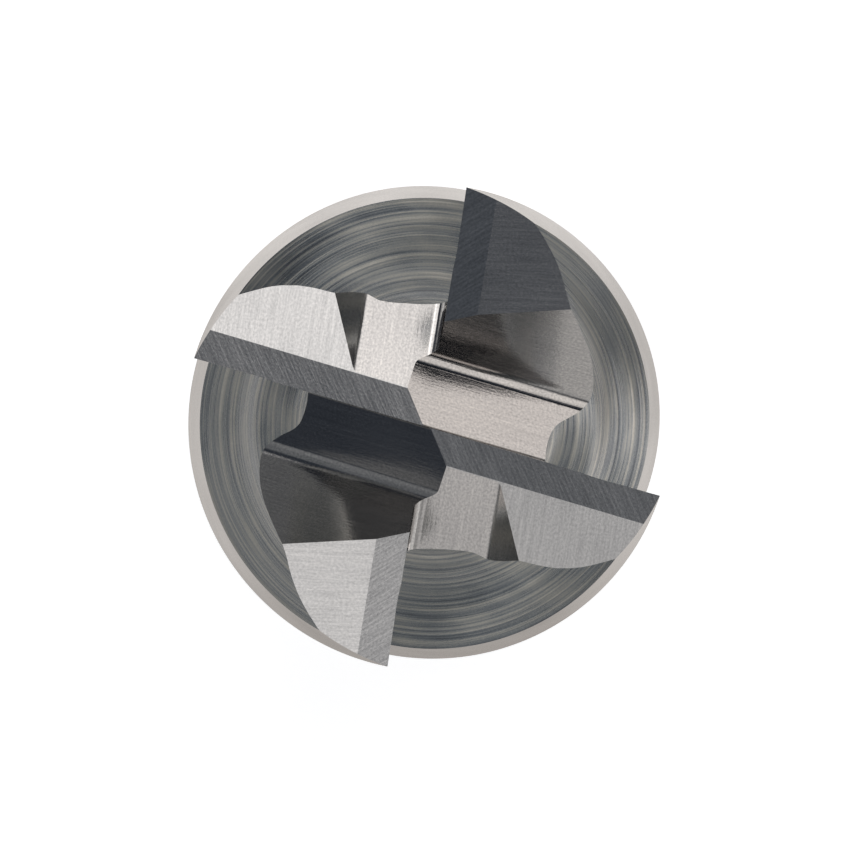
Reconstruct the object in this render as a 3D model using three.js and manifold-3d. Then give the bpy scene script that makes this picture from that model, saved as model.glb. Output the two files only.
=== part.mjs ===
// A four-flute, centre-cutting square end mill, 1/2 inch.
// Millimetres, +Z up.  The origin is the centre of the shank's rear face and +Z runs to the cutting end.
// Three pieces: a carbide cutting head, a braze layer and a steel shank with a screw flat.
import * as THREE from "three";
import { mergeVertices } from "three/addons/utils/BufferGeometryUtils.js";
import Module from "manifold-3d";

const wasm = await Module();
wasm.setup();

// ---- Driving dimensions ----
const CUT_RADIUS = 6.35;
const OVERALL_LENGTH = 76.2;
const FLUTE_LENGTH = 25.4; // full-depth flutes
const WASHOUT_LENGTH = 9; // the flutes grow shallow and run out over this
const HELIX_ANGLE = THREE.MathUtils.degToRad(30);
const HELIX_PITCH = (2 * Math.PI * CUT_RADIUS) / Math.tan(HELIX_ANGLE);

const JOINT_Z = 38.1; // rear face of the head
const SPIGOT_RADIUS = 3.5;
const SPIGOT_LENGTH = 10;
const BRAZE_THICKNESS = 0.1;
const BRAZE_CLEARANCE = 0.05; // drawn free space on each side of the braze

const SHANK_RADIUS = 6.35;
const REAR_CHAMFER = 0.8;
const JOINT_CHAMFER = 0.2;
const VENT_RADIUS = 0.8; // axial hole that lets flux and gas out of the socket
const SOCKET_SPARE_DEPTH = 0.5; // below the spigot's end
const CENTRE_HOLE_RADIUS = 2; // mouth of the centre hole in the rear face
const CENTRE_HOLE_ANGLE = THREE.MathUtils.degToRad(60); // between its sides
const FLAT_CENTRE_Z = 22.6; // the set screw's flat
const FLAT_LENGTH = 8.4;
const FLAT_HEIGHT = 4.83; // from the axis, so 11.18 mm from the flat to the far side
const FLAT_CUT_HEIGHT = 4; // the flat's cutter stands this far out of it, and is wider than the shank
const FLAT_CUT_WIDTH = 20;

// Directions of the four cutting edges round the axis, counter-clockwise seen from the cutting end.
// Long teeth cut over the centre.  The unequal spacing breaks up chatter.
const SHORT_TOOTH_LAG = 97.1;
const TEETH = [
  { direction: 0, gapAhead: SHORT_TOOTH_LAG, kind: "long" },
  { direction: SHORT_TOOTH_LAG, gapAhead: 180 - SHORT_TOOTH_LAG, kind: "short" },
  { direction: 180, gapAhead: SHORT_TOOTH_LAG, kind: "long" },
  { direction: 180 + SHORT_TOOTH_LAG, gapAhead: 180 - SHORT_TOOTH_LAG, kind: "short" },
];

// Land behind each peripheral edge: eccentric relief from the edge to the heel.
const LAND_WIDTH_DEG = 16.4;
const HEEL_RADIUS = 6.02;

// Flute outline points as [degrees, radius].  The rake face and bottom are counted in degrees in front
// of the tooth's own edge, and the back of the tooth in front in degrees behind that tooth's edge.
const RAKE_AND_BOTTOM = [
  [0, 5.4],
  [0, 4.5],
  [1.2, 3.85],
  [5.5, 3.4],
  [14, 3.22],
  [25, 3.25],
];
const FLUTE_BACK = {
  long: [
    [65.5, 3.43],
    [59, 3.93],
    [52.5, 4.42],
    [46.5, 4.66],
    [40.5, 4.77],
    [34, 5],
    [28, 5.34],
    [22.2, 5.68],
  ],
  short: [
    [46.5, 3.5],
    [40.5, 3.91],
    [35.1, 4.28],
    [30, 4.78],
    [26.5, 5.13],
    [22.3, 5.51],
  ],
};

// End clearance behind each end cutting edge.
const DISH_SLOPE = Math.tan(THREE.MathUtils.degToRad(1.5)); // edges sink a little towards the axis
const PRIMARY_SLOPE = Math.tan(THREE.MathUtils.degToRad(7));
const SECONDARY_SLOPE = Math.tan(THREE.MathUtils.degToRad(15.5));
const PRIMARY_WIDTH = 0.83;
const SHORT_EDGE_START = CUT_RADIUS / 4; // short teeth are relieved outwards from here
const AXIS_CLEARANCE = 0.15; // how far a long tooth's relief runs past the axis and past the next edge
const WEB_START = 0.7; // behind a long edge, its relief meets the next tooth's edge this far from the axis

// Room that the relief cutters take past the metal they remove.
const RELIEF_LEAD = 0.4; // in front of the edge
const RELIEF_REACH = 7; // behind the edge
const RELIEF_HEIGHT = 4;
const REGION_DEPTH = 12;
const GRIND_LENGTH = 30;

// End gashes.  Heights are z = start + fall * along + rise * across, from the axis and the edge corners.
// The foot is the corner under the edge, and the valley is the corner between the floor and the back wall.
const GASH_CUT_HEIGHT = 12;
const GASHES = {
  long: {
    fall: -0.609,
    floor: { start: -0.225, rise: -0.592 },
    wall: { start: -2.83, rise: 0.914 },
    footRadius: 0.1,
    valleyRadius: 0.42,
  },
  short: {
    fall: -0.6,
    floor: { start: 0.245, rise: 0.101 },
    wall: { start: -1.31, rise: 0.834 },
    footRadius: 0.3,
    valleyRadius: 0.3,
  },
};

// Facet counts.
const LAND_STEPS = 2;
const FLUTE_STEPS = 15;
const FLUTE_SLICES = 18;
const WASHOUT_SLICES = 6;
const TURNED_SEGMENTS = 64;
const CORNER_STEPS = 4;
const MERGE_DISTANCE = 1e-4; // corners nearer than this are one

// ---- Helpers ----
const radians = THREE.MathUtils.degToRad;

function polar(degrees, radius) {
  return new THREE.Vector2(radius * Math.cos(radians(degrees)), radius * Math.sin(radians(degrees)));
}

function toSolid(geometry) {
  const bare = geometry.clone();
  bare.deleteAttribute("normal");
  bare.deleteAttribute("uv");
  const merged = mergeVertices(bare, MERGE_DISTANCE);
  return new wasm.Manifold(
    new wasm.Mesh({
      numProp: 3,
      vertProperties: new Float32Array(merged.attributes.position.array),
      triVerts: new Uint32Array(merged.index.array),
    }),
  );
}

function toGeometry(solid) {
  const mesh = solid.getMesh();
  const geometry = new THREE.BufferGeometry();
  geometry.setAttribute("position", new THREE.BufferAttribute(mesh.vertProperties, 3));
  geometry.setIndex(new THREE.BufferAttribute(mesh.triVerts, 1));
  geometry.computeVertexNormals();
  return geometry;
}

// A lathe's turned profile is given as [radius, z] and ends up standing on +Z.
function turned(profile) {
  const points = profile.map(([radius, z]) => new THREE.Vector2(radius, z));
  return new THREE.LatheGeometry(points, TURNED_SEGMENTS).rotateX(Math.PI / 2);
}

// ---- Cutting head ----

// One tooth's share of the cross-section: its land from behind up to its edge, down its rake face, across
// the flute's bottom and out to the heel of the tooth in front.
function toothOutline(tooth) {
  const front = tooth.direction + tooth.gapAhead;
  const flute = new THREE.SplineCurve([
    polar(tooth.direction, CUT_RADIUS),
    ...RAKE_AND_BOTTOM.map(([ahead, radius]) => polar(tooth.direction + ahead, radius)),
    ...FLUTE_BACK[tooth.kind].map(([behind, radius]) => polar(front - behind, radius)),
    polar(front - LAND_WIDTH_DEG, HEEL_RADIUS),
  ]);
  return [...landPoints(tooth, HEEL_RADIUS), ...flute.getSpacedPoints(FLUTE_STEPS)];
}

// The part of the land between the heel and the edge, ends left out.
function landPoints(tooth, heelRadius) {
  return Array.from({ length: LAND_STEPS - 1 }, (_, i) => {
    const share = 1 - (i + 1) / LAND_STEPS;
    const radius = THREE.MathUtils.lerp(CUT_RADIUS, heelRadius, share);
    return polar(tooth.direction - LAND_WIDTH_DEG * share, radius);
  });
}

// The full circle that the same share of the cross-section turns into, point for point.
function roundOutline(tooth) {
  const fluteWidth = tooth.gapAhead - LAND_WIDTH_DEG;
  const flute = Array.from({ length: FLUTE_STEPS + 1 }, (_, i) =>
    polar(tooth.direction + (fluteWidth * i) / FLUTE_STEPS, CUT_RADIUS),
  );
  return [...landPoints(tooth, CUT_RADIUS), ...flute];
}

const crossSection = TEETH.flatMap(toothOutline);
const roundSection = TEETH.flatMap(roundOutline);

// The section at a depth below the tip: twisted along the helix and blended towards the circle.
function ringAt(depth) {
  const twist = (-2 * Math.PI * depth) / HELIX_PITCH;
  const runOut = THREE.MathUtils.smoothstep(depth, FLUTE_LENGTH, FLUTE_LENGTH + WASHOUT_LENGTH);
  return crossSection.map((point, i) => {
    const blended = point.clone().lerp(roundSection[i], runOut);
    blended.rotateAround(new THREE.Vector2(), twist);
    return new THREE.Vector3(blended.x, blended.y, OVERALL_LENGTH - depth);
  });
}

function circleRing(radius, z) {
  const twist = (-2 * Math.PI * (OVERALL_LENGTH - JOINT_Z)) / HELIX_PITCH;
  return roundSection.map((rim) => {
    const point = rim.clone().setLength(radius).rotateAround(new THREE.Vector2(), twist);
    return new THREE.Vector3(point.x, point.y, z);
  });
}

// Joins rings of equal length, listed from the top down, into one closed body.
function loft(rings) {
  const count = rings[0].length;
  const position = rings.flat().flatMap((point) => point.toArray());
  const index = [];
  for (let ring = 0; ring + 1 < rings.length; ring++) {
    for (let i = 0; i < count; i++) {
      const next = (i + 1) % count;
      const upper = ring * count;
      const lower = upper + count;
      index.push(upper + i, lower + i, lower + next);
      index.push(upper + i, lower + next, upper + next);
    }
  }
  const capOf = (ring) =>
    THREE.ShapeUtils.triangulateShape(ring.map((point) => new THREE.Vector2(point.x, point.y)), []);
  const bottom = (rings.length - 1) * count;
  for (const [a, b, c] of capOf(rings[0])) index.push(a, b, c);
  for (const [a, b, c] of capOf(rings.at(-1))) index.push(bottom + a, bottom + c, bottom + b);
  const geometry = new THREE.BufferGeometry();
  geometry.setAttribute("position", new THREE.Float32BufferAttribute(position, 3));
  geometry.setIndex(index);
  return geometry;
}

function flutedBlank() {
  const rings = [];
  for (let slice = 0; slice <= FLUTE_SLICES; slice++) {
    rings.push(ringAt((FLUTE_LENGTH * slice) / FLUTE_SLICES));
  }
  for (let slice = 1; slice <= WASHOUT_SLICES; slice++) {
    rings.push(ringAt(FLUTE_LENGTH + (WASHOUT_LENGTH * slice) / WASHOUT_SLICES));
  }
  const spigotEnd = JOINT_Z - SPIGOT_LENGTH;
  rings.push(circleRing(CUT_RADIUS, JOINT_Z + JOINT_CHAMFER));
  rings.push(circleRing(CUT_RADIUS - JOINT_CHAMFER, JOINT_Z));
  rings.push(circleRing(SPIGOT_RADIUS, JOINT_Z));
  rings.push(circleRing(SPIGOT_RADIUS, spigotEnd + JOINT_CHAMFER));
  rings.push(circleRing(SPIGOT_RADIUS - JOINT_CHAMFER, spigotEnd));
  return loft(rings);
}

// A prism whose outline lies across a cutting direction.  The outline's x axis is horizontal, in front
// of the edge, and its y axis is square to the fall of the cut.
function prismAcross(outline, tooth, fall) {
  const dip = Math.atan(-fall);
  const along = new THREE.Vector3(Math.cos(dip), 0, -Math.sin(dip));
  const across = new THREE.Vector3(0, 1, 0);
  const upward = new THREE.Vector3(Math.sin(dip), 0, Math.cos(dip));
  const prism = new THREE.ExtrudeGeometry(outline, { depth: GRIND_LENGTH, bevelEnabled: false });
  prism.translate(0, 0, -GRIND_LENGTH / 2);
  prism.applyMatrix4(new THREE.Matrix4().makeBasis(across, upward, along));
  prism.rotateZ(radians(tooth.direction));
  prism.translate(0, 0, OVERALL_LENGTH);
  return prism;
}

// Rounds the corner at "corner" between two straight runs of the outline.
function roundedCorner(before, corner, after, radius) {
  const back = before.clone().sub(corner).normalize();
  const ahead = after.clone().sub(corner).normalize();
  const halfAngle = Math.acos(THREE.MathUtils.clamp(back.dot(ahead), -1, 1)) / 2;
  const centre = back.clone().add(ahead).setLength(radius / Math.sin(halfAngle)).add(corner);
  const reach = radius / Math.tan(halfAngle);
  const start = back.multiplyScalar(reach).add(corner).sub(centre);
  const end = ahead.multiplyScalar(reach).add(corner).sub(centre);
  const turn = Math.atan2(start.cross(end), start.dot(end));
  return Array.from({ length: CORNER_STEPS + 1 }, (_, i) =>
    start.clone().rotateAround(new THREE.Vector2(), (turn * i) / CORNER_STEPS).add(centre),
  );
}

// The notch ground in front of an end edge: upright face under the edge, floor, and sloping back wall.
function gashCutter(tooth) {
  const { fall, floor, wall, footRadius, valleyRadius } = GASHES[tooth.kind];
  const squash = Math.cos(Math.atan(fall));
  const heightOf = (plane, across) => (plane.start + plane.rise * across) * squash;
  const valley = (floor.start - wall.start) / (wall.rise - floor.rise);
  const top = new THREE.Vector2(0, GASH_CUT_HEIGHT);
  const foot = new THREE.Vector2(0, heightOf(floor, 0));
  const low = new THREE.Vector2(valley, heightOf(floor, valley));
  const farAcross = GASH_CUT_HEIGHT / wall.rise;
  const far = new THREE.Vector2(farAcross, heightOf(wall, farAcross));
  const outline = new THREE.Shape([
    top,
    ...roundedCorner(top, foot, low, footRadius),
    ...roundedCorner(foot, low, far, valleyRadius),
    far,
    new THREE.Vector2(farAcross, GASH_CUT_HEIGHT),
  ]);
  return toSolid(prismAcross(outline, tooth, fall));
}

// Everything above a tooth's primary and secondary clearance planes, over that tooth only.
function reliefCutter(tooth) {
  const dish = CUT_RADIUS * DISH_SLOPE;
  const squash = Math.cos(Math.atan(DISH_SLOPE));
  const leadZ = -dish + RELIEF_LEAD * PRIMARY_SLOPE;
  const breakZ = -dish - PRIMARY_WIDTH * PRIMARY_SLOPE;
  const reachZ = breakZ - (RELIEF_REACH - PRIMARY_WIDTH) * SECONDARY_SLOPE;
  const outline = new THREE.Shape([
    new THREE.Vector2(RELIEF_LEAD, RELIEF_HEIGHT),
    new THREE.Vector2(RELIEF_LEAD, leadZ * squash),
    new THREE.Vector2(-PRIMARY_WIDTH, breakZ * squash),
    new THREE.Vector2(-RELIEF_REACH, reachZ * squash),
    new THREE.Vector2(-RELIEF_REACH, RELIEF_HEIGHT),
  ]);
  const planes = toSolid(prismAcross(outline, tooth, DISH_SLOPE));
  return planes.intersect(landRegion(tooth));
}

// Plan outline of the ground that one tooth's clearance wheel may touch, in the tooth's own directions:
// x along the edge and y in front of it.
function landRegion(tooth) {
  const beyond = CUT_RADIUS + 1;
  const nextEdge = SHORT_TOOTH_LAG - 180;
  const onNextEdge = (distance) => polar(nextEdge, distance).add(new THREE.Vector2(AXIS_CLEARANCE, 0));
  const outline =
    tooth.kind === "long"
      ? [
          new THREE.Vector2(-AXIS_CLEARANCE, RELIEF_LEAD),
          new THREE.Vector2(beyond, RELIEF_LEAD),
          new THREE.Vector2(beyond, -beyond),
          onNextEdge(beyond),
          onNextEdge(WEB_START),
          new THREE.Vector2(-AXIS_CLEARANCE, -WEB_START),
        ]
      : [
          new THREE.Vector2(SHORT_EDGE_START, RELIEF_LEAD),
          new THREE.Vector2(beyond, RELIEF_LEAD),
          new THREE.Vector2(beyond, -beyond),
          new THREE.Vector2(SHORT_EDGE_START, -beyond),
        ];
  const region = new THREE.ExtrudeGeometry(new THREE.Shape(outline.reverse()), {
    depth: REGION_DEPTH,
    bevelEnabled: false,
  });
  region.rotateZ(radians(tooth.direction));
  region.translate(0, 0, OVERALL_LENGTH - REGION_DEPTH / 2);
  return toSolid(region);
}

function cuttingHeadGeometry() {
  let head = toSolid(flutedBlank());
  for (const tooth of TEETH) head = head.subtract(reliefCutter(tooth));
  for (const tooth of TEETH) head = head.subtract(gashCutter(tooth));
  return toGeometry(head);
}

// ---- Braze layer ----
function brazeFilmGeometry() {
  const inner = SPIGOT_RADIUS + BRAZE_CLEARANCE;
  const outer = inner + BRAZE_THICKNESS;
  const rim = SHANK_RADIUS - JOINT_CHAMFER;
  const top = JOINT_Z - BRAZE_CLEARANCE;
  const bottom = JOINT_Z - SPIGOT_LENGTH + JOINT_CHAMFER;
  return turned([
    [inner, bottom],
    [outer, bottom],
    [outer, top - BRAZE_THICKNESS],
    [rim, top - BRAZE_THICKNESS],
    [rim, top],
    [inner, top],
    [inner, bottom],
  ]);
}

// ---- Shank ----
function shankGeometry() {
  const front = JOINT_Z - 2 * BRAZE_CLEARANCE - BRAZE_THICKNESS;
  const socketRadius = SPIGOT_RADIUS + 2 * BRAZE_CLEARANCE + BRAZE_THICKNESS;
  const socketFloor = JOINT_Z - SPIGOT_LENGTH - SOCKET_SPARE_DEPTH;
  const centreDepth = (CENTRE_HOLE_RADIUS - VENT_RADIUS) / Math.tan(CENTRE_HOLE_ANGLE / 2);
  const body = toSolid(
    turned([
      [VENT_RADIUS, centreDepth],
      [CENTRE_HOLE_RADIUS, 0],
      [SHANK_RADIUS - REAR_CHAMFER, 0],
      [SHANK_RADIUS, REAR_CHAMFER],
      [SHANK_RADIUS, front - JOINT_CHAMFER],
      [SHANK_RADIUS - JOINT_CHAMFER, front],
      [socketRadius, front],
      [socketRadius, socketFloor],
      [VENT_RADIUS, socketFloor],
      [VENT_RADIUS, centreDepth],
    ]),
  );
  return toGeometry(body.subtract(screwFlatCutter()));
}

// A bar across the shank whose ends slope at 45 degrees, on the -Y side.
function screwFlatCutter() {
  const half = FLAT_LENGTH / 2;
  const outline = new THREE.Shape([
    new THREE.Vector2(-half, 0),
    new THREE.Vector2(half, 0),
    new THREE.Vector2(half + FLAT_CUT_HEIGHT, FLAT_CUT_HEIGHT),
    new THREE.Vector2(-half - FLAT_CUT_HEIGHT, FLAT_CUT_HEIGHT),
  ]);
  const bar = new THREE.ExtrudeGeometry(outline, { depth: FLAT_CUT_WIDTH, bevelEnabled: false });
  bar.translate(0, 0, -FLAT_CUT_WIDTH / 2);
  const alongShank = new THREE.Vector3(0, 0, 1);
  const outward = new THREE.Vector3(0, -1, 0);
  const sideways = new THREE.Vector3(1, 0, 0);
  bar.applyMatrix4(new THREE.Matrix4().makeBasis(alongShank, outward, sideways));
  bar.translate(0, -FLAT_HEIGHT, FLAT_CENTRE_Z);
  return toSolid(bar);
}

// ---- Assembly ----
function piece(name, geometry, colour, roughness) {
  const material = new THREE.MeshStandardMaterial({ color: colour, metalness: 1, roughness });
  const mesh = new THREE.Mesh(geometry, material);
  mesh.name = name;
  return mesh;
}

const endMill = new THREE.Group();
endMill.add(piece("cutting_head", cuttingHeadGeometry(), 0x8e8d8b, 0.3));
endMill.add(piece("braze_film", brazeFilmGeometry(), 0xd8c9a0, 0.4));
endMill.add(piece("shank", shankGeometry(), 0xa3a5a7, 0.35));

export default endMill;
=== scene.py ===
# Looks for a four-flute end mill: a finely ground carbide head, a braze bead and a ground steel shank.
# Shapes are worked out in millimetres in the part's own frame, and made into metres at the last step.
import math
import random

import bmesh
import bpy
import numpy as np
from mathutils import Matrix, Vector


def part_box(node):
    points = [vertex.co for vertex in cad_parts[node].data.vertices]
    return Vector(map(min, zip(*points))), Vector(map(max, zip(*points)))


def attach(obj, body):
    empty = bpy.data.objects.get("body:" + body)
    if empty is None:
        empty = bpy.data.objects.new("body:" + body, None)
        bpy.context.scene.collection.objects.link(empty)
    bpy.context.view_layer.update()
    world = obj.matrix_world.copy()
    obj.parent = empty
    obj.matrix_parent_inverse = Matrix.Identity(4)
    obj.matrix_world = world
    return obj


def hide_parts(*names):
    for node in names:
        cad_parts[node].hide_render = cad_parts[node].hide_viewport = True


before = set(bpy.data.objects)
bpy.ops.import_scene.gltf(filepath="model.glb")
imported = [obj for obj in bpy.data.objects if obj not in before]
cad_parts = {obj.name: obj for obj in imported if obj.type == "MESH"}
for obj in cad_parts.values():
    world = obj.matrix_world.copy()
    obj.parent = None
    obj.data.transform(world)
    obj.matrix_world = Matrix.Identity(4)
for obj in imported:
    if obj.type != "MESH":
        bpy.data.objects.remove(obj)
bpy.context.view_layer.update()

MM = 0.001

# ---- Sizes, from the frame ----
head_low, head_high = (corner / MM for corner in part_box("cutting_head"))
film_low, film_high = (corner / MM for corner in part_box("braze_film"))
shank_low, shank_high = (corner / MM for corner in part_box("shank"))
TIP_Z = head_high.z
CUT_RADIUS = head_high.x
SHANK_RADIUS = shank_high.x
SHANK_TOP = shank_high.z
SPIGOT_END = head_low.z
SPIGOT_RADIUS = 3.5
BRAZE_THICKNESS = 0.1
BRAZE_CLEARANCE = 0.05
JOINT_Z = film_high.z + BRAZE_CLEARANCE
JOINT_CHAMFER = 0.2

# ---- Cutting geometry ----
HELIX_ANGLE = math.radians(30)
HELIX_PITCH = 2 * math.pi * CUT_RADIUS / math.tan(HELIX_ANGLE)
FLUTE_LENGTH = 25.4
WASHOUT_LENGTH = 9.0
SHORT_TOOTH_LAG = 97.1
TEETH = [
    {"direction": 0.0, "gap_ahead": SHORT_TOOTH_LAG, "kind": "long"},
    {"direction": SHORT_TOOTH_LAG, "gap_ahead": 180 - SHORT_TOOTH_LAG, "kind": "short"},
    {"direction": 180.0, "gap_ahead": SHORT_TOOTH_LAG, "kind": "long"},
    {"direction": 180 + SHORT_TOOTH_LAG, "gap_ahead": 180 - SHORT_TOOTH_LAG, "kind": "short"},
]
LAND_WIDTH_DEG = 16.4
HEEL_RADIUS = 6.02

# Flute outline points as (degrees, radius): rake face and bottom in front of the tooth's own edge, and the
# back of the tooth in front in degrees behind that tooth's edge.
RAKE_AND_BOTTOM = [(0, 5.4), (0, 4.5), (1.2, 3.85), (5.5, 3.4), (14, 3.22), (25, 3.25)]
FLUTE_BACK = {
    "long": [
        (65.5, 3.43),
        (59, 3.93),
        (52.5, 4.42),
        (46.5, 4.66),
        (40.5, 4.77),
        (34, 5.0),
        (28, 5.34),
        (22.2, 5.68),
    ],
    "short": [(46.5, 3.5), (40.5, 3.91), (35.1, 4.28), (30, 4.78), (26.5, 5.13), (22.3, 5.51)],
}

DISH_SLOPE = math.tan(math.radians(1.5))
PRIMARY_SLOPE = math.tan(math.radians(7))
SECONDARY_SLOPE = math.tan(math.radians(15.5))
PRIMARY_WIDTH = 0.83
SHORT_EDGE_START = CUT_RADIUS / 4
AXIS_CLEARANCE = 0.15
WEB_START = 0.7

# Each gash's floor and back wall are (start, rise): z = start + fall * along + rise * across.  Its foot and
# valley are the radii of the corners under the edge and between floor and wall.
GASHES = {
    "long": {"fall": -0.609, "floor": (-0.225, -0.592), "wall": (-2.83, 0.914), "foot": 0.1, "valley": 0.42},
    "short": {"fall": -0.6, "floor": (0.245, 0.101), "wall": (-1.31, 0.834), "foot": 0.3, "valley": 0.3},
}

# Room that the wheels take past the metal they remove.
RELIEF_LEAD = 0.4
RELIEF_REACH = 7.0
RELIEF_HEIGHT = 4.0
REGION_HALF_DEPTH = 6.0
GASH_CUT_HEIGHT = 12.0
GRIND_LENGTH = 30.0

# Degrees between the edge and the wheel marks on the two clearance faces.
PRIMARY_MARK_TURN = 50.0
SECONDARY_MARK_TURN = 84.0

# ---- Mesh fineness ----
LAND_STEPS = 20
FLUTE_STEPS = 140
FLUTE_SLICES = 104
WASHOUT_SLICES = 40
CORNER_STEPS = 12
TURNED_SEGMENTS = 192
SPLINE_SAMPLES = 60
TURNED_CORNER_SKIP = 3

# An edge is sharp where its faces turn by more than this.
HEAD_SHARP_DEGREES = 22
SHANK_SHARP_DEGREES = 35
BRAZE_SHARP_DEGREES = 40

# How strongly the larger faces decide the normals at a shared corner: the highest setting.
AREA_WEIGHT = 100

# Kinds of surface, each with its own material.
FACETS = ["flute", "land", "primary", "secondary", "gash", "neck", "turned"]
END_FACETS = ["primary", "secondary", "gash"]

# The normals of the end faces lean out as if their slopes were this much steeper.  That moves their
# reflections, and leaves their shape alone.
END_LEAN = 1.18


# ---- Small geometry helpers ----
def polar(degrees, radius):
    angle = math.radians(degrees)
    return np.array([radius * math.cos(angle), radius * math.sin(angle)])


def rotated(points, angle):
    cosine, sine = math.cos(angle), math.sin(angle)
    return points @ np.array([[cosine, sine], [-sine, cosine]])


def smoothstep(value, low, high):
    share = min(max((value - low) / (high - low), 0.0), 1.0)
    return share * share * (3 - 2 * share)


def spline(points, steps):
    """Evenly spaced points along a Catmull-Rom curve through the given points."""
    points = np.array(points)
    padded = np.vstack([points[:1], points, points[-1:]])
    share = np.linspace(0, 1, SPLINE_SAMPLES, endpoint=False)[:, None]
    dense = []
    for a, b, c, d in zip(padded, padded[1:], padded[2:], padded[3:]):
        slope_in, slope_out = (c - a) / 2, (d - b) / 2
        cubic = 2 * b - 2 * c + slope_in + slope_out
        square = -3 * b + 3 * c - 2 * slope_in - slope_out
        dense.append(((cubic * share + square) * share + slope_in) * share + b)
    dense = np.vstack([*dense, points[-1:]])
    run = np.concatenate([[0], np.cumsum(np.linalg.norm(np.diff(dense, axis=0), axis=1))])
    wanted = np.linspace(0, run[-1], steps + 1)
    return np.column_stack([np.interp(wanted, run, dense[:, axis]) for axis in (0, 1)])


def run_lengths(points):
    """Distance along a closed outline up to each point, and all the way round as the last value."""
    closed = np.vstack([points, points[:1]])
    return np.concatenate([[0], np.cumsum(np.linalg.norm(np.diff(closed, axis=0), axis=1))])


# ---- The fluted blank ----
STREAK_WAVES = 46
FEWEST_RIDGES, MOST_RIDGES = 6, 60
STREAK_HEIGHT = 0.0075
STREAK_SEED = 11
CHAMFER_SOFTENING = 0.06


def wheel_streaks(count, random_draws):
    """Fine ridges that a grinding wheel's face leaves along a flute, in mm, fading out at both ends."""
    place = np.linspace(0, 1, count)
    height = np.zeros(count)
    for _ in range(STREAK_WAVES):
        waves = random_draws.uniform(FEWEST_RIDGES, MOST_RIDGES)
        phase = random_draws.uniform(0, 2 * math.pi)
        height += STREAK_HEIGHT / waves * np.sin(2 * math.pi * waves * place + phase)
    return height * np.sin(math.pi * place) ** 0.25


def tooth_outline(tooth, random_draws):
    """One tooth's land, rake face, flute bottom, and the back of the tooth in front."""
    front = tooth["direction"] + tooth["gap_ahead"]
    flute = spline(
        [polar(tooth["direction"], CUT_RADIUS)]
        + [polar(tooth["direction"] + ahead, radius) for ahead, radius in RAKE_AND_BOTTOM]
        + [polar(front - behind, radius) for behind, radius in FLUTE_BACK[tooth["kind"]]]
        + [polar(front - LAND_WIDTH_DEG, HEEL_RADIUS)],
        FLUTE_STEPS,
    )
    along = np.gradient(flute, axis=0)
    outward = np.column_stack([along[:, 1], -along[:, 0]])
    outward /= np.linalg.norm(outward, axis=1)[:, None]
    flute = flute + outward * wheel_streaks(len(flute), random_draws)[:, None]
    return np.vstack([land_points(tooth, HEEL_RADIUS), flute])


def land_points(tooth, heel_radius):
    shares = [1 - (i + 1) / LAND_STEPS for i in range(LAND_STEPS - 1)]
    return np.array(
        [
            polar(
                tooth["direction"] - LAND_WIDTH_DEG * share,
                CUT_RADIUS + (heel_radius - CUT_RADIUS) * share,
            )
            for share in shares
        ]
    )


def round_outline(tooth):
    width = tooth["gap_ahead"] - LAND_WIDTH_DEG
    flute = [
        polar(tooth["direction"] + width * i / FLUTE_STEPS, CUT_RADIUS) for i in range(FLUTE_STEPS + 1)
    ]
    return np.vstack([land_points(tooth, CUT_RADIUS), flute])


def head_rings():
    """Rings of points from the tip to the spigot's end, each with its z."""
    random_draws = random.Random(STREAK_SEED)
    section = np.vstack([tooth_outline(tooth, random_draws) for tooth in TEETH])
    circle = np.vstack([round_outline(tooth) for tooth in TEETH])
    depths = [FLUTE_LENGTH * i / FLUTE_SLICES for i in range(FLUTE_SLICES + 1)]
    depths += [
        FLUTE_LENGTH + WASHOUT_LENGTH * (i + 1) / WASHOUT_SLICES for i in range(WASHOUT_SLICES)
    ]
    rings = []
    for depth in depths:
        run_out = smoothstep(depth, FLUTE_LENGTH, FLUTE_LENGTH + WASHOUT_LENGTH)
        blended = section + (circle - section) * run_out
        twist = -2 * math.pi * depth / HELIX_PITCH
        rings.append((rotated(blended, twist), TIP_Z - depth))
    unit = rotated(circle / CUT_RADIUS, twist)
    for radius, z in [
        (CUT_RADIUS, JOINT_Z + JOINT_CHAMFER),
        (CUT_RADIUS - CHAMFER_SOFTENING, JOINT_Z + CHAMFER_SOFTENING),
        (CUT_RADIUS - JOINT_CHAMFER, JOINT_Z),
        (SPIGOT_RADIUS, JOINT_Z),
        (SPIGOT_RADIUS, SPIGOT_END + JOINT_CHAMFER),
        (SPIGOT_RADIUS - JOINT_CHAMFER, SPIGOT_END),
    ]:
        rings.append((unit * radius, z))
    return section, rings


def blank_head():
    """The head before its end is ground.  The UV map "grain" holds (along, across) the marks, in mm."""
    section, rings = head_rings()
    count = len(section)
    points = np.vstack([np.column_stack([ring, np.full(count, z)]) for ring, z in rings])
    across = run_lengths(section)
    slices = FLUTE_SLICES + WASHOUT_SLICES
    tooth_points = LAND_STEPS + FLUTE_STEPS
    faces, grain, facets = [], [], []
    for level in range(len(rings) - 1):
        along = [(TIP_Z - rings[level + step][1]) / math.cos(HELIX_ANGLE) for step in (0, 1)]
        for i in range(count):
            following = (i + 1) % count
            upper, lower = level * count, (level + 1) * count
            faces.append((upper + i, lower + i, lower + following, upper + following))
            grain += [
                (along[0], across[i]),
                (along[1], across[i]),
                (along[1], across[i + 1]),
                (along[0], across[i + 1]),
            ]
            place = i % tooth_points
            on_land = place < LAND_STEPS - 1 or place == tooth_points - 1
            facet = "land" if on_land else "flute"
            facets.append(FACETS.index(facet if level < slices else "neck"))
    last = (len(rings) - 1) * count
    faces.append(tuple(range(count)))
    faces.append(tuple(last + i for i in reversed(range(count))))
    grain += [tuple(point) for point in section] + [(0.0, 0.0)] * count
    facets += [FACETS.index("secondary"), FACETS.index("neck")]
    return make_mesh("blank_head", points, faces, grain, facets)


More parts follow.
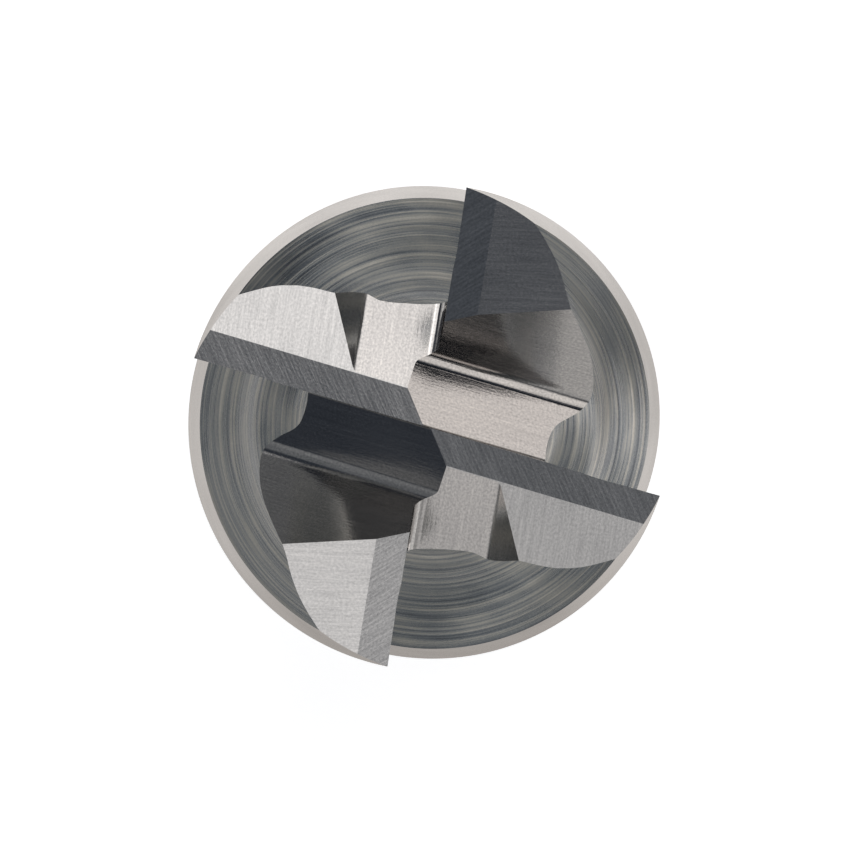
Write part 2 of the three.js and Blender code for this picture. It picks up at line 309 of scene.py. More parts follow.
def make_mesh(name, points, faces, grain, facets):
    """A mesh in mm with a "grain" UV map and one material slot for each kind of ground surface."""
    mesh = bpy.data.meshes.new(name)
    mesh.from_pydata([tuple(map(float, point)) for point in points], [], faces)
    layer = mesh.uv_layers.new(name="grain")
    layer.data.foreach_set("uv", np.array(grain, np.float32).ravel())
    for facet in FACETS:
        mesh.materials.append(MATERIALS[facet])
    mesh.polygons.foreach_set("material_index", np.array(facets, np.int32))
    mesh.update()
    return mesh


# ---- Wheels that grind the end ----
def prism_across(name, outline, facets, tooth, fall, turn):
    """A prism along a cut.  The outline's x is in front of the edge and its y square to the cut's fall.

    Marks on each side run at "turn" degrees from the cut.  The prism's two ends lie clear of the metal.
    """
    half = GRIND_LENGTH / 2
    dip = math.atan(-fall)
    basis = Matrix(
        (
            (0, math.sin(dip), math.cos(dip)),
            (1, 0, 0),
            (0, math.cos(dip), -math.sin(dip)),
        )
    )
    place = Matrix.Rotation(math.radians(tooth["direction"]), 3, "Z") @ basis
    tip = Vector((0, 0, TIP_Z))
    points = [place @ Vector((x, y, z)) + tip for z in (-half, half) for x, y in outline]
    count = len(outline)
    across = run_lengths(np.array(outline))
    faces, grain = [], []
    for i in range(count):
        following = (i + 1) % count
        faces.append((i, following, following + count, i + count))
        side = np.array(
            [
                (-half, across[i]),
                (-half, across[i + 1]),
                (half, across[i + 1]),
                (half, across[i]),
            ]
        )
        grain += [tuple(corner) for corner in rotated(side, math.radians(turn[i]))]
    faces += [tuple(reversed(range(count))), tuple(range(count, 2 * count))]
    grain += [(0.0, 0.0)] * (2 * count)
    indices = [FACETS.index(facet) for facet in facets] + [0, 0]
    return make_mesh(name, points, faces, grain, indices)


def rounded_corner(before, corner, after, radius):
    back = (before - corner).normalized()
    ahead = (after - corner).normalized()
    half = back.angle(ahead) / 2
    centre = corner + (back + ahead).normalized() * (radius / math.sin(half))
    reach = radius / math.tan(half)
    start = corner + back * reach - centre
    end = corner + ahead * reach - centre
    turn = math.atan2(start.x * end.y - start.y * end.x, start.dot(end))
    arc = [Matrix.Rotation(turn * i / CORNER_STEPS, 2) @ start for i in range(CORNER_STEPS + 1)]
    return [centre + spoke for spoke in arc]


def gash_wheel(tooth):
    gash = GASHES[tooth["kind"]]
    squash = math.cos(math.atan(gash["fall"]))

    def on_plane(plane, across):
        start, rise = plane
        return Vector((across, (start + rise * across) * squash))

    valley = (gash["floor"][0] - gash["wall"][0]) / (gash["wall"][1] - gash["floor"][1])
    far_across = GASH_CUT_HEIGHT / gash["wall"][1]
    top = Vector((0, GASH_CUT_HEIGHT))
    foot = on_plane(gash["floor"], 0)
    low = on_plane(gash["floor"], valley)
    far = on_plane(gash["wall"], far_across)
    outline = [
        top,
        *rounded_corner(top, foot, low, gash["foot"]),
        *rounded_corner(foot, low, far, gash["valley"]),
        far,
        Vector((far_across, GASH_CUT_HEIGHT)),
    ]
    sides = len(outline)
    return prism_across("gash", outline, ["gash"] * sides, tooth, gash["fall"], [0.0] * sides)


def land_region(tooth):
    """Plan outline of the ground that one tooth's clearance wheel may touch: x along the edge, y ahead."""
    beyond = CUT_RADIUS + 1
    if tooth["kind"] == "short":
        return [
            (SHORT_EDGE_START, RELIEF_LEAD),
            (beyond, RELIEF_LEAD),
            (beyond, -beyond),
            (SHORT_EDGE_START, -beyond),
        ]
    next_edge = SHORT_TOOTH_LAG - 180
    return [
        (-AXIS_CLEARANCE, RELIEF_LEAD),
        (beyond, RELIEF_LEAD),
        (beyond, -beyond),
        tuple(polar(next_edge, beyond) + (AXIS_CLEARANCE, 0)),
        tuple(polar(next_edge, WEB_START) + (AXIS_CLEARANCE, 0)),
        (-AXIS_CLEARANCE, -WEB_START),
    ]


def relief_wheel(tooth):
    dish = CUT_RADIUS * DISH_SLOPE
    squash = math.cos(math.atan(DISH_SLOPE))
    lead_z = -dish + RELIEF_LEAD * PRIMARY_SLOPE
    break_z = -dish - PRIMARY_WIDTH * PRIMARY_SLOPE
    reach_z = break_z - (RELIEF_REACH - PRIMARY_WIDTH) * SECONDARY_SLOPE
    outline = [
        Vector((RELIEF_LEAD, RELIEF_HEIGHT)),
        Vector((-RELIEF_REACH, RELIEF_HEIGHT)),
        Vector((-RELIEF_REACH, reach_z * squash)),
        Vector((-PRIMARY_WIDTH, break_z * squash)),
        Vector((RELIEF_LEAD, lead_z * squash)),
    ]
    facets = ["gash", "gash", "secondary", "primary", "gash"]
    turn = [0.0, 0.0, SECONDARY_MARK_TURN, PRIMARY_MARK_TURN, 0.0]
    planes = prism_across("relief", outline, facets, tooth, DISH_SLOPE, turn)
    region = upright_prism("region", land_region(tooth), tooth)
    return boolean(planes, region, "INTERSECT")


def upright_prism(name, outline, tooth):
    turned_outline = rotated(np.array(outline[::-1]), math.radians(tooth["direction"]))
    count = len(turned_outline)
    ends = (TIP_Z - REGION_HALF_DEPTH, TIP_Z + REGION_HALF_DEPTH)
    points = [(x, y, z) for z in ends for x, y in turned_outline]
    faces = [(i, (i + 1) % count, (i + 1) % count + count, i + count) for i in range(count)]
    faces += [tuple(reversed(range(count))), tuple(range(count, 2 * count))]
    corners = sum(len(face) for face in faces)
    return make_mesh(name, points, faces, [(0.0, 0.0)] * corners, [FACETS.index("gash")] * len(faces))


def boolean(mesh, tool_mesh, operation):
    """The mesh after one cut, with the tool's materials and grain on the new faces."""
    target = bpy.data.objects.new("target", mesh)
    tool = bpy.data.objects.new("tool", tool_mesh)
    for item in (target, tool):
        bpy.context.collection.objects.link(item)
    modifier = target.modifiers.new("cut", "BOOLEAN")
    modifier.solver = "MANIFOLD"
    modifier.operation = operation
    modifier.object = tool
    bpy.context.view_layer.update()
    evaluated = target.evaluated_get(bpy.context.evaluated_depsgraph_get())
    result = bpy.data.meshes.new_from_object(evaluated)
    for item in (target, tool):
        bpy.data.objects.remove(item)
    return result


def ground_head():
    mesh = blank_head()
    for tooth in TEETH:
        mesh = boolean(mesh, relief_wheel(tooth), "DIFFERENCE")
    for tooth in TEETH:
        mesh = boolean(mesh, gash_wheel(tooth), "DIFFERENCE")
    return finished_object(
        "cutting_head_ground", mesh, "cutting_head", HEAD_SHARP_DEGREES, END_FACETS
    )


def finished_object(name, mesh, node, sharp_degrees, leaned_facets=()):
    """Scales a mesh to metres, shades it, and puts it on the root body in its node's place."""
    mesh.transform(Matrix.Scale(MM, 4))
    mark_sharp(mesh, math.radians(sharp_degrees))
    shaded = weighted_shading(mesh)
    shaded.name = name
    lean_shading(shaded, leaned_facets)
    piece = bpy.data.objects.new(name, shaded)
    bpy.context.collection.objects.link(piece)
    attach(piece, "root")
    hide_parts(node)
    return piece


def weighted_shading(mesh):
    """The mesh with normals that keep large flats flat next to small rounded corners."""
    item = bpy.data.objects.new("shading", mesh)
    bpy.context.collection.objects.link(item)
    weighted = item.modifiers.new("weighted_normals", "WEIGHTED_NORMAL")
    weighted.keep_sharp = True
    weighted.weight = AREA_WEIGHT
    bpy.context.view_layer.update()
    evaluated = item.evaluated_get(bpy.context.evaluated_depsgraph_get())
    result = bpy.data.meshes.new_from_object(evaluated)
    bpy.data.objects.remove(item)
    return result


def lean_shading(mesh, facet_names):
    """Leans the normals of these kinds of surface a little further out from the axis."""
    if not facet_names:
        return
    normals = np.empty(len(mesh.loops) * 3, np.float32)
    mesh.corner_normals.foreach_get("vector", normals)
    normals = normals.reshape(-1, 3)
    facets = np.empty(len(mesh.polygons), np.int32)
    mesh.polygons.foreach_get("material_index", facets)
    corners = np.empty(len(mesh.polygons), np.int32)
    mesh.polygons.foreach_get("loop_total", corners)
    chosen = np.repeat(np.isin(facets, [FACETS.index(name) for name in facet_names]), corners)
    normals[chosen, :2] *= END_LEAN
    normals /= np.linalg.norm(normals, axis=1)[:, None]
    mesh.normals_split_custom_set(normals.tolist())


def mark_sharp(mesh, angle):
    """Edges are sharp where they turn by more than the angle, or where two kinds of surface meet."""
    work = bmesh.new()
    work.from_mesh(mesh)
    for face in work.faces:
        face.smooth = True
    for edge in work.edges:
        if len(edge.link_faces) == 2:
            first, second = edge.link_faces
            same = first.material_index == second.material_index
            edge.smooth = same and edge.calc_face_angle(0.0) < angle
    work.to_mesh(mesh)
    work.free()


# ---- Turned pieces ----
def turned_mesh(name, profile, facet, wobble=None):
    """A body of revolution about the axis.  The profile is (radius, z) points and closes on itself."""
    count = len(profile)
    across = run_lengths(np.array(profile))
    points, faces, grain, indices = [], [], [], []
    for step in range(TURNED_SEGMENTS):
        angle = 2 * math.pi * step / TURNED_SEGMENTS
        for i, (radius, z) in enumerate(profile):
            shift = wobble(angle, i) if wobble else 0.0
            points.append(((radius + shift) * math.cos(angle), (radius + shift) * math.sin(angle), z))
    for step in range(TURNED_SEGMENTS):
        here, there = step * count, (step + 1) % TURNED_SEGMENTS * count
        along = [SHANK_RADIUS * 2 * math.pi * turn / TURNED_SEGMENTS for turn in (step, step + 1)]
        for i in range(count):
            following = (i + 1) % count
            faces.append((here + i, there + i, there + following, here + following))
            grain += [
                (along[0], across[i]),
                (along[1], across[i]),
                (along[1], across[i + 1]),
                (along[0], across[i + 1]),
            ]
            indices.append(FACETS.index(facet))
    return make_mesh(name, points, faces, grain, indices)


def rounded_profile(corners):
    """Corners are (radius, z, rounding), and each with a rounding is replaced by a small arc."""
    spots = [Vector((radius, z)) for radius, z, _ in corners]
    profile = []
    for i, (_, _, rounding) in enumerate(corners):
        before, spot, after = spots[i - 1], spots[i], spots[(i + 1) % len(spots)]
        if rounding:
            arc = rounded_corner(before, spot, after, rounding)
            profile += [tuple(point) for point in arc[::TURNED_CORNER_SKIP]]
        else:
            profile.append(tuple(spot))
    return profile


# ---- Shank ----
FLAT_CENTRE_Z = 22.6
FLAT_LENGTH = 8.4
FLAT_HEIGHT = 4.83
FLAT_CUT_HEIGHT = 4.0
FLAT_CUT_HALF_WIDTH = 10.0
REAR_CHAMFER = 0.8
VENT_RADIUS = 0.8
CENTRE_HOLE_RADIUS = 2.0
CENTRE_HOLE_ANGLE = math.radians(60)
SOCKET_SPARE_DEPTH = 0.5
EDGE_ROUNDING = 0.05
CENTRE_BOTTOM_ROUNDING = 0.2
CENTRE_MOUTH_ROUNDING = 0.08
REAR_ROUNDING = 0.12


def shank():
    centre_depth = (CENTRE_HOLE_RADIUS - VENT_RADIUS) / math.tan(CENTRE_HOLE_ANGLE / 2)
    socket = SPIGOT_RADIUS + 2 * BRAZE_CLEARANCE + BRAZE_THICKNESS
    socket_floor = SPIGOT_END - SOCKET_SPARE_DEPTH
    profile = rounded_profile(
        [
            (SHANK_RADIUS, SHANK_TOP - JOINT_CHAMFER, EDGE_ROUNDING),
            (SHANK_RADIUS - JOINT_CHAMFER, SHANK_TOP, EDGE_ROUNDING),
            (socket, SHANK_TOP, EDGE_ROUNDING),
            (socket, socket_floor, 0),
            (VENT_RADIUS, socket_floor, EDGE_ROUNDING),
            (VENT_RADIUS, centre_depth, CENTRE_BOTTOM_ROUNDING),
            (CENTRE_HOLE_RADIUS, 0, CENTRE_MOUTH_ROUNDING),
            (SHANK_RADIUS - REAR_CHAMFER, 0, REAR_ROUNDING),
            (SHANK_RADIUS, REAR_CHAMFER, REAR_ROUNDING),
        ]
    )
    body = turned_mesh("shank", profile, "turned")
    flat = boolean(body, screw_flat_wheel(), "DIFFERENCE")
    return finished_object("shank_ground", flat, "shank", SHANK_SHARP_DEGREES)


def screw_flat_wheel():
    half = FLAT_LENGTH / 2
    far = half + FLAT_CUT_HEIGHT
    outline = [(-half, 0.0), (-far, FLAT_CUT_HEIGHT), (far, FLAT_CUT_HEIGHT), (half, 0.0)]
    sides = (-FLAT_CUT_HALF_WIDTH, FLAT_CUT_HALF_WIDTH)
    points = [(x, -FLAT_HEIGHT - out, FLAT_CENTRE_Z + z) for x in sides for z, out in outline]
    count = len(outline)
    faces = [(i, (i + 1) % count, (i + 1) % count + count, i + count) for i in range(count)]
    faces += [tuple(reversed(range(count))), tuple(range(count, 2 * count))]
    grain = []
    for face in faces:
        grain += [(points[corner][0], points[corner][2]) for corner in face]
    return make_mesh("screw_flat", points, faces, grain, [FACETS.index("gash")] * len(faces))


# ---- Braze ----
BEAD_STEPS = 10
BEAD_INSET = 0.09
BEAD_HOLLOW = 0.06
BEAD_OVERLAP = 0.08
BEAD_ROOT_INSET = 0.22
BEAD_SEED = 5
BEAD_WAVES = 14
FEWEST_RIPPLES, MOST_RIPPLES = 3, 40
BEAD_WOBBLE = 0.006


def braze():
    """The wiped bead in the groove between head and shank, and the layer behind it."""
    inner = SPIGOT_RADIUS + BRAZE_CLEARANCE
    outer = inner + BRAZE_THICKNESS
    face_low, face_high = film_high.z - BRAZE_THICKNESS, film_high.z
    rim = SHANK_RADIUS - BEAD_INSET
    root = SHANK_RADIUS - BEAD_ROOT_INSET
    before_bead = [(inner, film_low.z), (inner, face_high), (root, face_high)]
    profile = list(before_bead)
    for i in range(BEAD_STEPS + 1):
        share = i / BEAD_STEPS
        z = face_high + BEAD_OVERLAP - (face_high - face_low + 2 * BEAD_OVERLAP) * share
        profile.append((rim - BEAD_HOLLOW * math.sin(math.pi * share), z))
    profile += [(root, face_low), (outer, face_low), (outer, film_low.z)]
    random_draws = random.Random(BEAD_SEED)
    waves = []
    for _ in range(BEAD_WAVES):
        ripples = random_draws.randint(FEWEST_RIPPLES, MOST_RIPPLES)
        waves.append((ripples, random_draws.uniform(0, 2 * math.pi)))

    def wobble(angle, i):
        """Moves only the bead.  It is in the middle of the profile, so its points have the same
        numbers from either end.
        """
        if not len(before_bead) <= i <= len(before_bead) + BEAD_STEPS:
            return 0.0
        return sum(BEAD_WOBBLE / math.sqrt(wave) * math.sin(wave * angle + phase) for wave, phase in waves)

    mesh = turned_mesh("braze", profile[::-1], "turned", wobble)
    mesh.materials.clear()
    mesh.materials.append(braze_material())
    mesh.polygons.foreach_set("material_index", np.zeros(len(mesh.polygons), np.int32))
    return finished_object("braze_bead", mesh, "braze_film", BRAZE_SHARP_DEGREES)


# ---- Materials ----
def add_node(tree, kind, inputs, **settings):
    """A new node with these settings.  An input is a socket to link from, or a value."""
    node = tree.nodes.new(kind)
    for key, value in settings.items():
        setattr(node, key, value)
    for key, value in inputs.items():
        if isinstance(value, bpy.types.NodeSocket):
            tree.links.new(value, node.inputs[key])
        else:
            node.inputs[key].default_value = value
    return node


def set_stops(node, stops):
    """Gives a new colour ramp its (position, colour) stops."""
    elements = node.color_ramp.elements
    while len(elements) < len(stops):
        elements.new(0.5)
    for element, (position, colour) in zip(elements, stops):
        element.position = position
        element.color = (*colour, 1)


class Nodes:
    """Short calls for building one material's node tree."""

    def __init__(self, name):
        self.material = bpy.data.materials.new(name)
        self.material.use_nodes = True
        self.tree = self.material.node_tree
        self.shader = self.tree.nodes["Principled BSDF"]

    def add(self, kind, inputs, **settings):
        return add_node(self.tree, kind, inputs, **settings)

    def math(self, operation, first, second=0.0, third=0.0):
        inputs = {0: first, 1: second, 2: third}
        return self.add("ShaderNodeMath", inputs, operation=operation).outputs[0]

    def weighted_sum(self, patterns, weights):
        """Each pattern's swing about its middle value, times its weight, added up."""
        total = 0.0
        for pattern, weight in zip(patterns, weights):
            swing = self.math("SUBTRACT", pattern, 0.5)
            total = self.math("MULTIPLY_ADD", swing, weight, total)
        return total

    def noise(self, vector, scale, detail=2.0, roughness=0.5):
        inputs = {"Vector": vector, "Scale": scale, "Detail": detail, "Roughness": roughness}
        return self.add("ShaderNodeTexNoise", inputs).outputs["Fac"]

    def ramp(self, value, stops):
        node = self.add("ShaderNodeValToRGB", {"Fac": value})
        set_stops(node, stops)
        return node.outputs["Color"]

    def stretched_grain(self, along, across):
        """The surface's own (along, across) coordinates in mm, scaled so that marks run along."""
        uv = self.add("ShaderNodeUVMap", {}, uv_map="grain").outputs["UV"]
        return self.add("ShaderNodeMapping", {"Vector": uv, "Scale": (along, across, 1)}).outputs["Vector"]

    def wire(self, output, socket):
        self.tree.links.new(output, self.shader.inputs[socket])


# Patterns that every ground surface shares, as (along, across) in cycles per mm.
DRIFT_CYCLES = (0.25, 0.6)
WAVE_CYCLES = (0.3, 0.5)
SPECKLE_CYCLES = (13.0, 17.0)
POLISH_RANGE = (0.35, 0.65)


def ground_metal(name, tints, tone, roughness, marks, relief, anisotropy):
    """Bare ground metal: wheel marks, speckle, slow waviness, colour drift and uneven polish.

    tints are colours from dark to light, and tone is how much (lines, speckle, drift) moves between them.
    marks is (along, across) in cycles per mm, and relief is the height in mm of (lines, speckle, waves).
    """
    nodes = Nodes(name)
    drift = nodes.noise(nodes.stretched_grain(*DRIFT_CYCLES), 1.0, 2.0, 0.5)
    waves = nodes.noise(nodes.stretched_grain(*WAVE_CYCLES), 1.0, 0.0, 0.5)
    lines = nodes.noise(nodes.stretched_grain(*marks), 1.0, 3.0, 0.7)
    speckle = nodes.noise(nodes.stretched_grain(*SPECKLE_CYCLES), 1.0, 1.0, 0.6)
    shift = nodes.weighted_sum((lines, speckle, drift), tone)
    positions = [i / (len(tints) - 1) for i in range(len(tints))]
    colour = nodes.ramp(nodes.math("ADD", shift, 0.5), list(zip(positions, tints)))
    nodes.wire(colour, "Base Color")
    polish = {
        "Value": nodes.math("MULTIPLY_ADD", drift, 0.5, nodes.math("MULTIPLY", lines, 0.5)),
        "From Min": POLISH_RANGE[0],
        "From Max": POLISH_RANGE[1],
        "To Min": roughness[0],
        "To Max": roughness[1],
    }
    nodes.wire(nodes.add("ShaderNodeMapRange", polish).outputs["Result"], "Roughness")
    height = nodes.weighted_sum((lines, speckle, waves), relief)
    bump = nodes.add("ShaderNodeBump", {"Height": height, "Strength": 1.0, "Distance": MM})
    nodes.wire(bump.outputs["Normal"], "Normal")
    tangent = nodes.add("ShaderNodeTangent", {}, direction_type="UV_MAP", uv_map="grain")
    nodes.wire(tangent.outputs["Tangent"], "Tangent")
    nodes.shader.inputs["Metallic"].default_value = 1.0
    nodes.shader.inputs["Anisotropic"].default_value = anisotropy
    return nodes.material


BRAZE_MOTTLE_CYCLES = 1400.0  # per metre
BRAZE_RELIEF = 0.02
BRAZE_ROUGHNESS = 0.32


def braze_material():
    nodes = Nodes("silver_braze")
    spots = nodes.add("ShaderNodeTexCoord", {}).outputs["Object"]
    mottle = nodes.noise(spots, BRAZE_MOTTLE_CYCLES, 4.0, 0.6)
    colour = nodes.ramp(mottle, [(0.35, (0.52, 0.43, 0.26)), (0.65, (0.86, 0.8, 0.66))])
    nodes.wire(colour, "Base Color")
    relief = nodes.add("ShaderNodeBump", {"Height": mottle, "Strength": 1.0, "Distance": BRAZE_RELIEF * MM})
    nodes.wire(relief.outputs["Normal"], "Normal")
    nodes.shader.inputs["Metallic"].default_value = 1.0
    nodes.shader.inputs["Roughness"].default_value = BRAZE_ROUGHNESS
    return nodes.material


CARBIDE = [(0.36, 0.355, 0.35), (0.54, 0.53, 0.52), (0.74, 0.72, 0.7)]
WARM_CARBIDE = [(0.34, 0.328, 0.32), (0.54, 0.52, 0.505), (0.78, 0.745, 0.705)]
FLUTE = [(0.04, 0.055, 0.085), (0.2, 0.23, 0.27), (0.4, 0.415, 0.42), (0.62, 0.6, 0.55), (0.86, 0.82, 0.75)]
STEEL = [(0.42, 0.43, 0.44), (0.58, 0.59, 0.6), (0.74, 0.75, 0.76)]
MATERIALS = {
    "flute": ground_metal(
        "carbide_flute",
        FLUTE,
        tone=(2.3, 0.5, 0.8),
        roughness=(0.22, 0.34),
        marks=(0.035, 7.5),
        relief=(0.018, 0.001, 0.01),
        anisotropy=0.5,
    ),
    "land": ground_metal(
        "carbide_land",
        WARM_CARBIDE,
        tone=(0.6, 0.9, 0.2),
        roughness=(0.12, 0.2),
        marks=(0.2, 12.0),
        relief=(0.002, 0.001, 0.004),
        anisotropy=0.3,
    ),
    "primary": ground_metal(
        "carbide_primary",
        CARBIDE,
        tone=(1.4, 1.1, 0.3),
        roughness=(0.14, 0.2),
        marks=(0.7, 15.0),
        relief=(0.002, 0.0012, 0.006),
        anisotropy=0.3,
    ),
    "secondary": ground_metal(
        "carbide_secondary",
        CARBIDE,
        tone=(1.2, 0.9, 0.25),
        roughness=(0.16, 0.24),
        marks=(0.7, 13.0),
        relief=(0.003, 0.0012, 0.006),
        anisotropy=0.3,
    ),
    "gash": ground_metal(
        "carbide_gash",
        WARM_CARBIDE,
        tone=(0.7, 1.0, 0.3),
        roughness=(0.1, 0.16),
        marks=(0.5, 14.0),
        relief=(0.0022, 0.0012, 0.004),
        anisotropy=0.4,
    ),
    "neck": ground_metal(
        "carbide_neck",
        CARBIDE,
        tone=(0.8, 0.4, 0.4),
        roughness=(0.16, 0.26),
        marks=(12.0, 0.1),
        relief=(0.002, 0.0005, 0.004),
        anisotropy=0.4,
    ),
    "turned": ground_metal(
        "steel_turned",
        STEEL,
        tone=(0.5, 0.3, 0.3),
        roughness=(0.18, 0.28),
        marks=(0.1, 12.0),
        relief=(0.0015, 0.0005, 0.0012),
        anisotropy=0.5,
    ),
}


# ---- Surroundings ----
FLOOR_HALF_WIDTH = 6.0  # metres
FLOOR_DROP = 0.05
FLOOR_GREY = 0.8
FLOOR_ROUGHNESS = 0.9
FLOOR_GLOW = 0.72


def floor():
    """A plain white floor, which glows a little and stays out of the metal's reflections."""
    half = FLOOR_HALF_WIDTH
    mesh = bpy.data.meshes.new("floor")
    depth = -FLOOR_DROP * MM
    corners = [(-half, -half, depth), (half, -half, depth), (half, half, depth), (-half, half, depth)]
    mesh.from_pydata(corners, [], [(0, 1, 2, 3)])
    nodes = Nodes("white_floor")
    nodes.shader.inputs["Base Color"].default_value = (FLOOR_GREY, FLOOR_GREY, FLOOR_GREY, 1)
    nodes.shader.inputs["Roughness"].default_value = FLOOR_ROUGHNESS
    nodes.shader.inputs["Emission Color"].default_value = (1, 1, 1, 1)
    nodes.shader.inputs["Emission Strength"].default_value = FLOOR_GLOW
    mesh.materials.append(nodes.material)
    item = bpy.data.objects.new("floor", mesh)
    item.visible_glossy = False
    bpy.context.collection.objects.link(item)


# The tool stands turned by the roll against the camera's upright, and the camera leans off the tool's axis
# by the lean, as sideways and upward slopes.
CAMERA_ROLL = math.radians(16.45)
CAMERA_LEAN = (-0.00525, 0.00897)
CAMERA_DISTANCE = 7.33 * HELIX_PITCH
TOOL_SHARE_OF_FRAME = 0.5689
FRAME_WIDTH = 2 * CUT_RADIUS / TOOL_SHARE_OF_FRAME
SENSOR_WIDTH = 36
NEAREST_SEEN, FARTHEST_SEEN = 0.01, 50


def camera():
    turn = Matrix.Rotation(CAMERA_ROLL, 3, "Z")
    toward = turn @ Vector((*CAMERA_LEAN, 1)).normalized()
    right = (turn @ Vector((0, 1, 0))).cross(toward).normalized()
    up = toward.cross(right)
    data = bpy.data.cameras.new("camera")
    item = bpy.data.objects.new("camera", data)
    bpy.context.collection.objects.link(item)
    place = Vector((0, 0, TIP_Z)) + toward * CAMERA_DISTANCE
    facing = Matrix((right, up, toward)).transposed().to_4x4()
    item.matrix_world = Matrix.Translation(place * MM) @ facing
    data.sensor_width = SENSOR_WIDTH
    data.lens = SENSOR_WIDTH * CAMERA_DISTANCE / FRAME_WIDTH
    data.clip_start = NEAREST_SEEN
    data.clip_end = FARTHEST_SEEN
    bpy.context.scene.camera = item


# The studio is a soft gradient by tilt from straight up, with soft boxes on it, and dark cards where the
# light is negative.  Angles are in degrees, and a box's compass angle is counter-clockwise from the camera's
# right.  A box is full inside its core and fades out at its rim.
STUDIO_GRADIENT = [
    (0, (0.1, 0.112, 0.13)),
    (40, (0.075, 0.085, 0.103)),
    (80, (0.035, 0.042, 0.055)),
    (94, (0.038, 0.045, 0.058)),
    (108, (0.17, 0.175, 0.18)),
    (118, (0.17, 0.175, 0.18)),
    (127, (0.13, 0.137, 0.145)),
    (136, (0.2, 0.205, 0.205)),
    (150, (0.3, 0.305, 0.3)),
    (166, (0.66, 0.63, 0.605)),
    (180, (0.72, 0.685, 0.66)),
]
SOFT_BOXES = [
    {"compass": 70, "tilt": 54, "core": 20, "rim": 40, "light": 1.25, "tint": (1.0, 0.98, 0.965)},
    {"compass": 104, "tilt": 77, "core": 13, "rim": 21, "light": 1.4, "tint": (1.0, 0.99, 0.98)},
    {"compass": 168, "tilt": 37, "core": 6, "rim": 30, "light": 0.95, "tint": (1.0, 0.98, 0.965)},
    {"compass": 160, "tilt": 73, "core": 5, "rim": 22, "light": 0.12, "tint": (0.97, 1.0, 1.0)},
    {"compass": 183, "tilt": 88, "core": 8, "rim": 21, "light": 0.25, "tint": (0.98, 1.0, 1.0)},
    {"compass": 251, "tilt": 57, "core": 18, "rim": 42, "light": 0.6, "tint": (1.0, 0.98, 0.96)},
    {"compass": 288, "tilt": 97, "core": 16, "rim": 30, "light": 0.4, "tint": (1.0, 0.98, 0.95)},
    {"compass": 31, "tilt": 92, "core": 6, "rim": 13, "light": 1.1, "tint": (1.0, 0.95, 0.915)},
    {"compass": 340, "tilt": 75, "core": 12, "rim": 28, "light": 0.95, "tint": (1.0, 0.96, 0.92)},
    {"compass": 327, "tilt": 133, "core": 7, "rim": 14, "light": 1.2, "tint": (1.0, 0.95, 0.92)},
    {"compass": 68, "tilt": 112, "core": 6, "rim": 23, "light": 0.75, "tint": (1.0, 0.99, 0.98)},
    {"compass": 152, "tilt": 113, "core": 5, "rim": 19, "light": 0.65, "tint": (1.0, 0.99, 0.98)},
    {"compass": 250, "tilt": 112, "core": 6, "rim": 23, "light": 0.75, "tint": (1.0, 0.99, 0.98)},
    {"compass": 316, "tilt": 106, "core": 6, "rim": 24, "light": 0.6, "tint": (1.0, 0.99, 0.98)},
    {"compass": 20, "tilt": 103, "core": 14, "rim": 28, "light": -0.1, "tint": (1.0, 1.0, 1.0)},
    {"compass": 355, "tilt": 98, "core": 6, "rim": 16, "light": -0.06, "tint": (1.0, 1.0, 1.0)},
    {"compass": 218, "tilt": 107, "core": 6, "rim": 15, "light": -0.04, "tint": (1.0, 1.0, 1.0)},
    {"compass": 276, "tilt": 126, "core": 8, "rim": 19, "light": -0.2, "tint": (1.0, 1.0, 1.0)},
    {"compass": 345, "tilt": 40, "core": 8, "rim": 18, "light": 0.04, "tint": (1.0, 0.98, 0.95)},
    {"compass": 93, "tilt": 144, "core": 3, "rim": 8, "light": -0.13, "tint": (1.0, 0.96, 0.88)},
    {"compass": 244, "tilt": 17, "core": 5, "rim": 13, "light": 0.035, "tint": (1.0, 0.97, 0.93)},
    {"compass": 349, "tilt": 152, "core": 5, "rim": 12, "light": -0.14, "tint": (1.0, 1.0, 1.0)},
    {"compass": 145, "tilt": 150, "core": 5, "rim": 11, "light": -0.11, "tint": (1.0, 0.97, 0.94)},
    {"compass": 229, "tilt": 149, "core": 4, "rim": 10, "light": -0.07, "tint": (1.0, 1.0, 1.0)},
    {"compass": 274, "tilt": 145, "core": 4, "rim": 10, "light": 0.14, "tint": (1.0, 1.0, 1.0)},
    {"compass": 321, "tilt": 163, "core": 4, "rim": 9, "light": 0.16, "tint": (1.0, 0.96, 0.92)},
    {"compass": 98, "tilt": 152, "core": 6, "rim": 14, "light": -0.27, "tint": (1.0, 0.97, 0.88)},
    {"compass": 268, "tilt": 166, "core": 6, "rim": 16, "light": -0.2, "tint": (1.0, 1.0, 1.0)},
    {"compass": 85, "tilt": 168, "core": 5, "rim": 14, "light": 0.2, "tint": (1.0, 0.98, 0.96)},
]
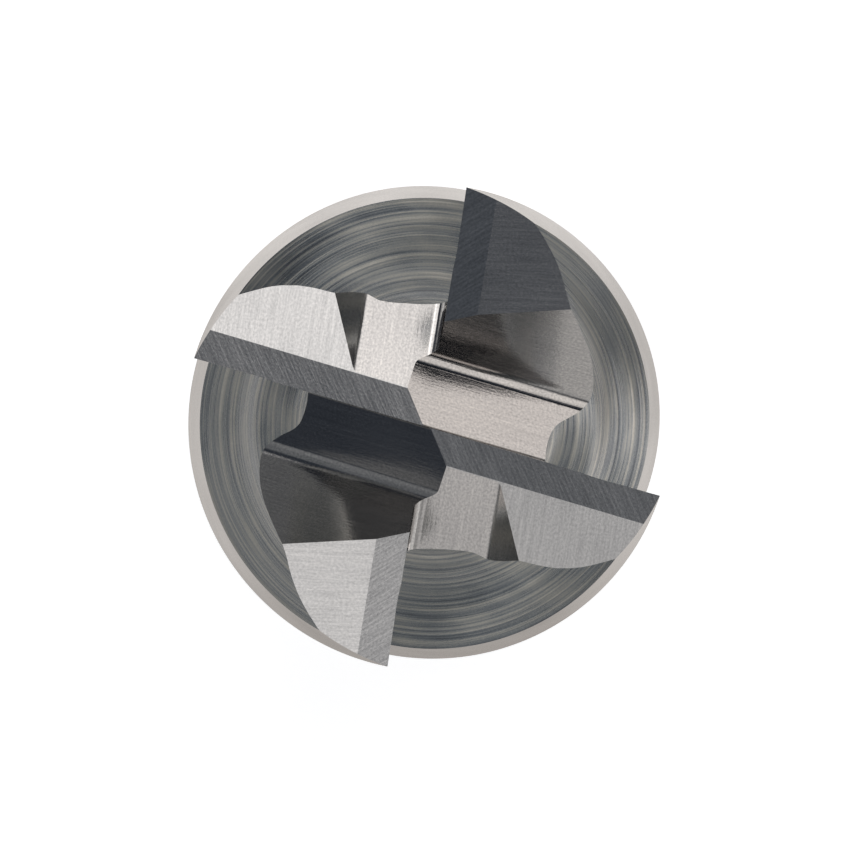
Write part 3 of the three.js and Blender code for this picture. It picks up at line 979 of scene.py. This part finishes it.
BACKDROP = (0.93, 0.93, 0.93, 1)  # what the camera sees behind the floor
DARKEST = (0.012, 0.014, 0.018)


def studio():
    world = bpy.data.worlds.new("studio")
    bpy.context.scene.world = world
    world.use_nodes = True
    tree = world.node_tree

    def add(kind, inputs, **settings):
        return add_node(tree, kind, inputs, **settings)

    direction = tree.nodes.new("ShaderNodeTexCoord").outputs["Generated"]
    height = add("ShaderNodeSeparateXYZ", {0: direction}).outputs["Z"]
    tilt = add("ShaderNodeMath", {0: height}, operation="ARCCOSINE").outputs[0]
    share = add("ShaderNodeMath", {0: tilt, 1: math.pi}, operation="DIVIDE").outputs[0]
    gradient = add("ShaderNodeValToRGB", {"Fac": share})
    set_stops(gradient, [(degrees / 180, colour) for degrees, colour in STUDIO_GRADIENT])
    total = gradient.outputs["Color"]
    for box in SOFT_BOXES:
        compass = math.radians(box["compass"]) + CAMERA_ROLL
        lean = math.radians(box["tilt"])
        centre = (math.sin(lean) * math.cos(compass), math.sin(lean) * math.sin(compass), math.cos(lean))
        facing = add("ShaderNodeVectorMath", {0: direction, 1: centre}, operation="DOT_PRODUCT")
        edges = {
            "Value": facing.outputs["Value"],
            "From Min": math.cos(math.radians(box["rim"])),
            "From Max": math.cos(math.radians(box["core"])),
            "To Max": box["light"],
        }
        glow = add("ShaderNodeMapRange", edges, interpolation_type="SMOOTHSTEP").outputs["Result"]
        added = {0: glow, 1: box["tint"], 2: total}
        total = add("ShaderNodeVectorMath", added, operation="MULTIPLY_ADD").outputs["Vector"]
    total = add("ShaderNodeVectorMath", {0: total, 1: DARKEST}, operation="MAXIMUM").outputs["Vector"]
    seen = tree.nodes.new("ShaderNodeLightPath").outputs["Is Camera Ray"]
    backdrop = add("ShaderNodeMix", {"Factor": seen, 6: total, 7: BACKDROP}, data_type="RGBA")
    tree.links.new(backdrop.outputs[2], tree.nodes["Background"].inputs["Color"])


ground_head()
shank()
braze()
floor()
camera()
studio()
bpy.context.scene.view_settings.view_transform = "Standard"
